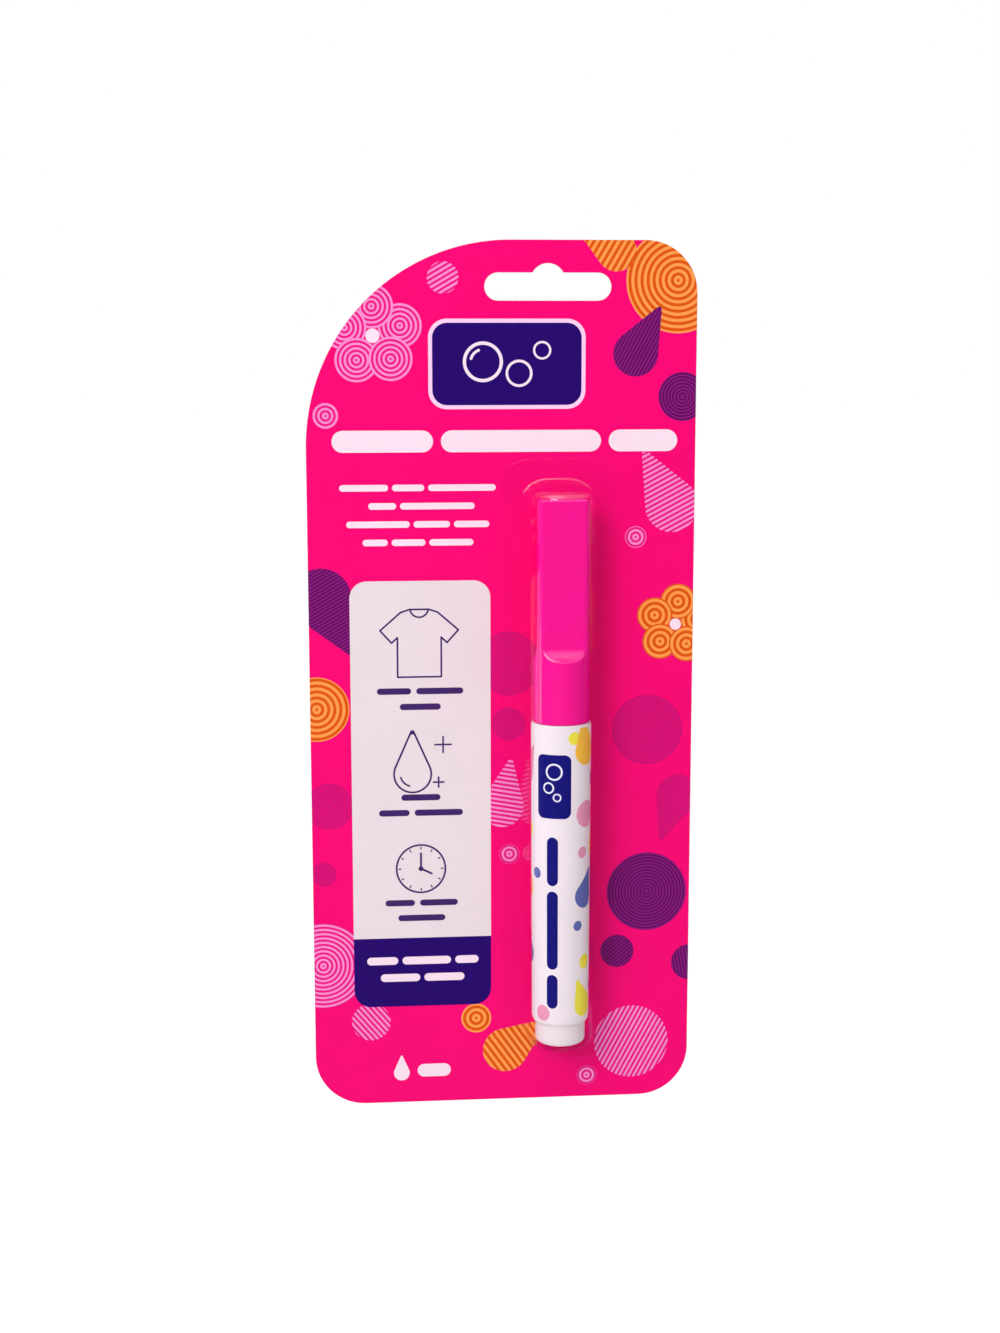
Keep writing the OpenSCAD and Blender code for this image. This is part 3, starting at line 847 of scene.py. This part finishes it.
def make_blister():
    """Clear bubble with its flange, as one closed sheet."""
    fillet_r, rows, steps = 0.55, 14, 5
    half_w = ROOF_R + SIDE_DRAFT + FLANGE_W
    low = BUBBLE_LOW - END_DRAFT - FLANGE_W
    high = BUBBLE_HIGH + END_DRAFT + FLANGE_W
    profiles = []
    for column in blister_columns():
        way = Vector((math.cos(column[0]), math.sin(column[0]), 0))
        outer = bubble_profile(column, SHEET_T, rows, fillet_r)
        inner = bubble_profile(column, 0, rows, fillet_r)
        centre = outer[-1] + way * fillet_r
        line = list(outer)
        for i in range(1, steps + 1):
            a = math.pi / 2 * (1 - i / steps)
            line.append(centre - way * fillet_r * math.sin(a) + Vector((0, 0, -fillet_r * math.cos(a))))
        rim = outline_point(column, half_w, low, high, FLANGE_R)
        edge = Vector((rim.x, rim.y, 0))
        line.append(line[-1].lerp(Vector((edge.x, edge.y, SHEET_T)), 0.5))
        top = [(0.3, SHEET_T), (0.1, SHEET_T), (0.03, SHEET_T - 0.03), (0, SHEET_T - 0.1)]
        for back, height in top + [(0, 0.08), (0.05, 0), (0.3, 0)]:
            line.append(edge - way * back + Vector((0, 0, height)))
        under = []
        for i in range(steps + 1):
            a = math.pi / 2 * i / steps
            r = fillet_r + SHEET_T
            under.append(centre - way * r * math.sin(a) + Vector((0, 0, -r * math.cos(a))))
        line += under + inner[::-1][1:]
        profiles.append(line)
    rows_out = []
    for k in range(len(profiles[0])):
        rows_out.append([on_card(PEN_X + line[k].x, line[k].y, SEAL_GAP + line[k].z) for line in profiles])
    piece = loft("clear_blister", rows_out, clear_sheet("clear_sheet_finish"), weld_mm=0.004)
    sharpen(piece, 60)
    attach(piece, "blister")
    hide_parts("blister_shell")


# ---- The pen


def on_pen(angle, r, z):
    """Point in the part's frame, in mm. Angle 0 faces the front, and grows to the right."""
    return on_card(PEN_X + r * math.sin(angle), PEN_RISE + z, PEN_OUT + r * math.cos(angle))


def foot_share(z):
    """How far down the barrel's rounded lower end a height is, from 0 to 1."""
    return min(max((BARREL_LOW + FOOT_H - z) / FOOT_H, 0), 1)


def barrel_r(z):
    """Radius of the barrel's outside, drawn in at its lower end."""
    cone_z = max(z, BARREL_LOW + FOOT_H)
    cone = BARREL_LOW_R + (BARREL_HIGH_R - BARREL_LOW_R) * (cone_z - BARREL_LOW) / (BARREL_HIGH - BARREL_LOW)
    return cone - FOOT_IN * (1 - math.sqrt(1 - foot_share(z) ** 2))


def barrel_slope(z):
    """Growth of that radius with height."""
    t = foot_share(z)
    return FOOT_IN * t / (FOOT_H * math.sqrt(1 - t * t)) if 0 < t < 1 else 0.0


# Bubbles and drops on the film: degrees from the front, height, radius, the drop's turn, ink
LABEL_MOTIFS = (
    (20, 74.2, 1.5, None, "yellow"),
    (50, 71.0, 3.4, 100, "amber"),
    (52, 56.0, 3.2, None, "rose"),
    (41, 47.0, 1.4, None, "rose"),
    (48, 36.6, 3.0, 70, "blue"),
    (30, 29.6, 1.2, None, "blue"),
    (50, 20.6, 1.8, None, "yellow"),
    (48, 10.2, 2.9, 110, "yellow"),
    (-44, 8.4, 1.9, None, "rose"),
    (-60, 42.0, 1.3, None, "blue"),
    (88, 64.0, 2.4, None, "blue"),
    (96, 48.0, 3.6, 80, "yellow"),
    (100, 30.0, 2.8, None, "rose"),
    (84, 14.0, 1.6, None, "blue"),
    (-100, 66.0, 3.0, 60, "rose"),
    (-92, 52.0, 1.8, None, "yellow"),
    (-104, 38.0, 3.2, None, "amber"),
    (-96, 22.0, 2.6, 120, "blue"),
    (140, 70.0, 2.0, None, "amber"),
    (150, 42.0, 2.4, None, "rose"),
    (-150, 56.0, 2.2, None, "blue"),
    (-146, 16.0, 2.6, 90, "yellow"),
    (142, 20.0, 1.8, None, "yellow"),
)


def label_inks():
    """Inks of the film round the barrel."""
    return {
        "film": ink("film_white", (239, 227, 235), gloss=0.3),
        "navy": ink("film_navy", (22, 20, 118), gloss=0.28),
        "edge": ink("film_edge", (250, 240, 246)),
        "soft": ink("film_soft", (232, 230, 248), gloss=0.28),
        "yellow": ink("film_yellow", (240, 228, 74), gloss=0.28),
        "amber": ink("film_amber", (250, 190, 70), gloss=0.28),
        "rose": ink("film_rose", (232, 150, 186), gloss=0.28),
        "blue": ink("film_blue", (96, 106, 176), gloss=0.28),
    }


def make_label():
    """Printed film wrapped round the barrel, open at the seam."""
    mean_r = 6.85
    half = math.pi * mean_r - LABEL_SEAM / 2
    foot = [BARREL_LOW + FOOT_H * (1 + math.sin(math.radians(a / 2))) for a in range(-90, 1, 15)]
    low = foot[0]
    high = BARREL_HIGH - LABEL_MARGIN
    art = Print([(-half, low), (half, low), (half, high), (-half, high)], "film")
    degree = math.radians(1) * mean_r
    art.put(round_box(-56 * degree, 55.4, 13.5 * degree, 70.4, 1.6, 8), "navy")
    art.ring(-20 * degree, 66.4, 2.0, 0.42, "soft", "navy")
    art.ring(-31 * degree, 62.6, 1.35, 0.36, "soft", "navy")
    art.ring(-14 * degree, 60.4, 1.0, 0.32, "soft", "navy")
    art.bars(-23 * degree, 51.0, (11.6, 18.8, 8.2), 2.7, 1.3, "navy", upright=True)
    for x, z, r, turn, paint in LABEL_MOTIFS:
        if turn is None:
            art.ball(x * degree, z, r, paint)
        else:
            art.drop(x * degree, z, r, turn, paint)
    grid = [((x * degree, low - 1), (x * degree, high + 1)) for x in range(-178, 180, 4)]
    grid += [((-half - 1, z), (half + 1, z)) for z in foot[1:] + list(range(14, 76, 9))]

    def wrap(p, deep):
        """Point of the film, deep under its face."""
        return on_pen(p.x / mean_r, barrel_r(p.y) + SEAT_GAP + LABEL_T - deep, p.y) * MM

    rings = ((0.0, 0.0), (0.0, LABEL_T))
    piece, count = sheet_piece("printed_label", art, wrap, rings, label_inks(), "edge", "edge", grid)
    round_normals(piece)
    map_label(piece, count, mean_r, half, low, high)
    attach(piece, "pen")
    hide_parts("barrel_label")


def round_normals(piece):
    """Gives the wrapped film the normals of the round barrel under it."""
    axis = on_pen(0, 0, 0) * MM
    mesh = piece.data
    mesh.polygons.foreach_set("use_smooth", [True] * len(mesh.polygons))
    normals = [None] * len(mesh.loops)
    for polygon in mesh.polygons:
        middle = polygon.center - axis
        radial = Vector((middle.x, middle.y, 0)).normalized()
        facing = polygon.normal.dot(radial)
        for loop in polygon.loop_indices:
            p = mesh.vertices[mesh.loops[loop].vertex_index].co - axis
            outward = Vector((p.x, p.y, 0)).normalized()
            outward = (outward - Vector((0, 0, barrel_slope(p.z / MM)))).normalized()
            if abs(facing) < 0.8:
                normals[loop] = polygon.normal.copy()
            else:
                normals[loop] = outward if facing > 0 else -outward
    mesh.normals_split_custom_set(normals)


def map_label(piece, count, mean_r, half, low, high):
    """Flat map of the wrapped film, the printed side large."""
    layer = piece.data.uv_layers.new(name="OFBake")
    centre = on_pen(0, 0, 0) * MM
    margin, front, rest_from, rest = 0.006, 0.86, 0.87, 0.12
    for polygon in piece.data.polygons:
        seen = polygon.center - centre
        side = math.copysign(1, seen.x)
        for loop in polygon.loop_indices:
            p = piece.data.vertices[piece.data.loops[loop].vertex_index].co
            angle = math.atan2(p.x - centre.x, -(p.y - centre.y))
            if abs(angle) > 2 and angle * side < 0:
                angle += side * 2 * math.pi
            u = (angle * mean_r + half) / (2 * half)
            v = ((p.z - centre.z) / MM - low) / (high - low)
            v = margin + (1 - 2 * margin) * min(max(v, 0), 1)
            u = min(max(u, 0), 1)
            if polygon.index < count:
                place = (margin + (front - 2 * margin) * u, v)
            else:
                place = (rest_from + rest * u, v)
            layer.data[loop].uv = place


def soft_least(a, b, k):
    """The smaller of two lengths, with the corner between them rounded over k."""
    h = max(k - abs(a - b), 0) / k
    return min(a, b) - h * h * k / 4


def flat_distance(z):
    """Distance of the cap's flats from the axis at height z, with their hollow run-outs."""
    depth = CAP_R - FLAT_R
    run_out_h = math.sqrt(RUN_OUT_R**2 - (RUN_OUT_R - depth) ** 2)
    start = CAP_LOW + FLATS_RISE + run_out_h
    if z >= start:
        return FLAT_R
    if z <= start - RUN_OUT_R:
        return 4 * CAP_R
    return FLAT_R + RUN_OUT_R - math.sqrt(RUN_OUT_R**2 - (start - z) ** 2)


def cap_outside(angle, z):
    """Radius of the cap's outside, with softened edges."""
    third = 2 * math.pi / 3
    off = (angle - FLATS_TURN + third / 2) % third - third / 2
    flat = flat_distance(z)
    radius = soft_least(CAP_R, flat / math.cos(off), 0.4)
    above = z - (CAP_HIGH - CAP_EDGE_R)
    below = CAP_LOW + MOUTH_EDGE_R - z
    for r, over in ((CAP_EDGE_R, above), (MOUTH_EDGE_R, below)):
        if over > 0:
            radius -= r - math.sqrt(max(r**2 - over**2, 0))
    return radius


def spaced(low, high, count):
    """Even steps from low to high, with both ends."""
    return [low + (high - low) * i / count for i in range(count + 1)]


def make_cap():
    """Cap with its three flats and its bore, as one closed surface."""
    material = plastic("cap_plastic", (252, 0, 143), (251, 0, 149), 0.17, extra={"Specular IOR Level": 0.7})
    count = 192
    angles = [2 * math.pi * i / count for i in range(count)]
    start = CAP_LOW + FLATS_RISE
    heights = [CAP_LOW, CAP_LOW + 0.03, CAP_LOW + 0.08, CAP_LOW + 0.15]
    heights += spaced(CAP_LOW + 0.5, start - 0.3, 8)
    heights += spaced(start - 0.2, start + 4.2, 44)
    heights += spaced(start + 4.6, CAP_HIGH - CAP_EDGE_R - 0.4, 18)
    heights += [CAP_HIGH - CAP_EDGE_R * (1 - math.sin(math.radians(a))) for a in range(0, 91, 10)]
    rows = [[on_pen(a, cap_outside(a, z), z) for a in angles] for z in heights]
    for share in (0.9, 0.6, 0.3):
        rows.append([on_pen(a, cap_outside(a, CAP_HIGH) * share, CAP_HIGH) for a in angles])
    rows = rows[::-1]
    bore = (
        (6.03, CAP_LOW),
        (5.73, CAP_LOW + 0.3),
        (5.73, 81.675),
        (5.805, 81.975),
        (5.805, 82.575),
        (5.73, 82.875),
        (5.73, 88.6),
        (3.05, 91.75),
        (3.05, 110.0),
        (3.05, 127.5),
        (1.5, 127.5),
    )
    rows += [[on_pen(a, r, z) for a in angles] for r, z in bore]
    piece = loft("cap_shell", rows, material, poles=(True, True))
    sharpen(piece, 35)
    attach(piece, "cap")
    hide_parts("cap")


def make_spring():
    """Compression spring with closed end turns, made as one fixed shape; the real one shortens as the tip is
    pressed in.
    """
    sides, rings = 8, 24
    low = SPRING_LOW + WIRE_R
    high = SPRING_HIGH - WIRE_R
    closed_pitch = 2 * WIRE_R + 0.08
    open_pitch = (high - low - 2 * closed_pitch) / (COIL_TURNS - 2)
    angles = [2 * math.pi * j / sides for j in range(sides)]
    rows = []
    for i in range(COIL_TURNS * rings + 1):
        turn = i / rings
        open_turns = min(max(turn - 1, 0), COIL_TURNS - 2)
        z = low + open_turns * open_pitch + (turn - open_turns) * closed_pitch
        way = 2 * math.pi * turn
        rows.append([on_pen(way, COIL_R + WIRE_R * math.cos(b), z + WIRE_R * math.sin(b)) for b in angles])
    piece = loft("coil_spring", rows, steel("spring_wire"), poles=(True, True))
    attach(piece, "pen")
    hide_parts("valve_spring")
    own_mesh(piece)


def dress_nodes():
    """Finishes of the CAD pieces that stay as they are."""
    finishes = {
        "barrel": plastic("white_plastic", (238, 227, 232), (233, 221, 227), 0.38),
        "tail_plug": plastic("tail_plastic", (237, 223, 229), (231, 217, 223), 0.42, cloud_mm=4),
        "nib_holder": plastic("holder_plastic", (240, 240, 238), (233, 233, 231), 0.3, cloud_mm=5),
        "valve_seat": plastic("seat_rubber", (92, 92, 94), (78, 78, 82), 0.7, grain_mm=0.2),
        "valve_cage": plastic("cage_plastic", (230, 232, 232), (221, 224, 225), 0.4, cloud_mm=3),
        "valve_stem": plastic("stem_plastic", (226, 232, 238), (216, 224, 232), 0.35, cloud_mm=3),
        "nib": felt("nib_fibre"),
        "inner_cap": plastic("inner_cap_plastic", (238, 238, 236), (230, 230, 228), 0.35, cloud_mm=4),
    }
    for node, material in finishes.items():
        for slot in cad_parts[node].material_slots:
            slot.material = material


# ---- Studio


def seen_factor(tree, behind=None):
    """1 for rays that show the background: from the camera, through clear things and off shiny ones."""
    path = add(tree, "LightPath")
    glossy = path.outputs["Is Glossy Ray"]
    if behind is not None:
        glossy = add(tree, "Math", {0: glossy, 1: behind}, operation="MULTIPLY").outputs[0]
    seen = add(tree, "Math", {0: path.outputs["Is Camera Ray"], 1: glossy}, operation="MAXIMUM").outputs[0]
    values = {0: seen, 1: path.outputs["Is Transmission Ray"]}
    return add(tree, "Math", values, operation="MAXIMUM").outputs[0]


def make_world():
    """Even light for matt surfaces. Shiny ones see a dark room, a light ceiling and white behind the pack."""
    world = bpy.data.worlds.new("studio")
    bpy.context.scene.world = world
    world.use_nodes = True
    tree = world.node_tree
    tree.nodes.clear()
    way = add(tree, "TexCoord").outputs["Generated"]
    parts = add(tree, "SeparateXYZ", {0: way})
    rear = {"Value": parts.outputs["Y"], "From Min": 0.35, "From Max": 0.55}
    behind = add(tree, "MapRange", rear).outputs[0]
    sky = {"Value": parts.outputs["Z"], "From Min": -0.6, "From Max": 0.9, "To Min": 0.38, "To Max": 0.56}
    soft = add(tree, "MapRange", sky).outputs[0]
    ceiling = {"Value": parts.outputs["Z"], "From Min": 0.35, "From Max": 0.7, "To Min": 0.06, "To Max": 1.5}
    room = add(tree, "MapRange", ceiling).outputs[0]
    shiny = add(tree, "LightPath").outputs["Is Glossy Ray"]
    strength = add(tree, "Mix", {0: shiny, 2: soft, 3: room}, data_type="FLOAT").outputs[0]
    ambient = add(tree, "Background", {"Color": (1, 0.985, 0.99, 1), "Strength": strength})
    white = add(tree, "Background", {"Color": (1, 1, 1, 1), "Strength": 1.0})
    seen = seen_factor(tree, behind)
    mixed = add(tree, "MixShader", {0: seen, 1: ambient.outputs[0], 2: white.outputs[0]})
    add(tree, "OutputWorld", {"Surface": mixed.outputs[0]})


def make_floor():
    """White floor that keeps the shadow; the stretch before the pack is dark in reflections."""
    material, tree = new_tree("floor_pale")
    place = add(tree, "SeparateXYZ", {0: add(tree, "NewGeometry").outputs["Position"]})
    rear = {"Value": place.outputs["Y"], "From Min": 0.45, "From Max": 0.75}
    behind = add(tree, "MapRange", rear).outputs[0]
    seen = seen_factor(tree, behind)
    share = add(tree, "Math", {0: seen, 1: 0.8}, operation="MULTIPLY").outputs[0]
    before = add(tree, "Math", {0: 1.0, 1: behind}, operation="SUBTRACT").outputs[0]
    mirrored = add(tree, "LightPath").outputs["Is Glossy Ray"]
    dark = add(tree, "Math", {0: before, 1: mirrored}, operation="MULTIPLY").outputs[0]
    tone = blend_colours(tree, dark, (0.93, 0.93, 0.93, 1), (0.06, 0.06, 0.06, 1))
    matt = add(tree, "BsdfDiffuse", {"Color": tone})
    glow = add(tree, "Emission", {"Color": (1, 1, 1, 1), "Strength": 1.15})
    mixed = add(tree, "MixShader", {0: share, 1: matt.outputs[0], 2: glow.outputs[0]})
    add(tree, "OutputMaterial", {"Surface": mixed.outputs[0]})
    floor_z, reach = -300.0, 6000.0
    signs = ((-1, -1), (1, -1), (1, 1), (-1, 1))
    corners = [(sx * reach, sy * reach, floor_z) for sx, sy in signs]
    floor = mesh_piece("floor", corners, [[0, 1, 2, 3]], material, smooth=False)


def area_lamp(name, place, target, size, radiance, colour=(1, 1, 1)):
    """Rectangular soft light, width by height, with its brightness per area."""
    lamp = bpy.data.lights.new(name, "AREA")
    lamp.shape = "RECTANGLE"
    lamp.size, lamp.size_y = size
    lamp.energy = radiance * size[0] * size[1] * math.pi
    lamp.color = colour
    made = bpy.data.objects.new(name, lamp)
    bpy.context.scene.collection.objects.link(made)
    made.location = place
    made.rotation_euler = (Vector(target) - Vector(place)).to_track_quat("-Z", "Y").to_euler()


def make_lamps():
    """Main light at the left, a strip beside the pen, and a soft one above."""
    middle = (-0.01, 0.0, -0.1)
    area_lamp("key", (-0.62, -0.92, 0.5), middle, (0.5, 0.5), 8.7, (1.0, 0.99, 0.985))
    area_lamp("side_box", (-0.5, 0.11, -0.24), (0.0, 0.0, -0.24), (0.12, 0.18), 4.5)
    area_lamp("top_box", (-0.25, -0.35, 0.75), middle, (0.8, 0.5), 2.2)


def make_camera():
    """Camera where the photograph was taken from."""
    lens = bpy.data.cameras.new("camera")
    lens.sensor_fit = "AUTO"
    lens.sensor_width = SENSOR_MM
    lens.lens = LENS_MM
    lens.clip_start = 0.01
    lens.clip_end = 50
    camera = bpy.data.objects.new("camera", lens)
    bpy.context.scene.collection.objects.link(camera)
    turn = Matrix((CAMERA_RIGHT, CAMERA_UP, CAMERA_BACK)).transposed()
    camera.matrix_world = Matrix.Translation(Vector(CAMERA_AT) * MM) @ turn.to_4x4()
    bpy.context.scene.camera = camera


make_camera()
make_world()
make_floor()
make_lamps()
make_card()
make_blister()
make_label()
make_cap()
make_spring()
dress_nodes()
bpy.context.scene.view_settings.view_transform = "Standard"
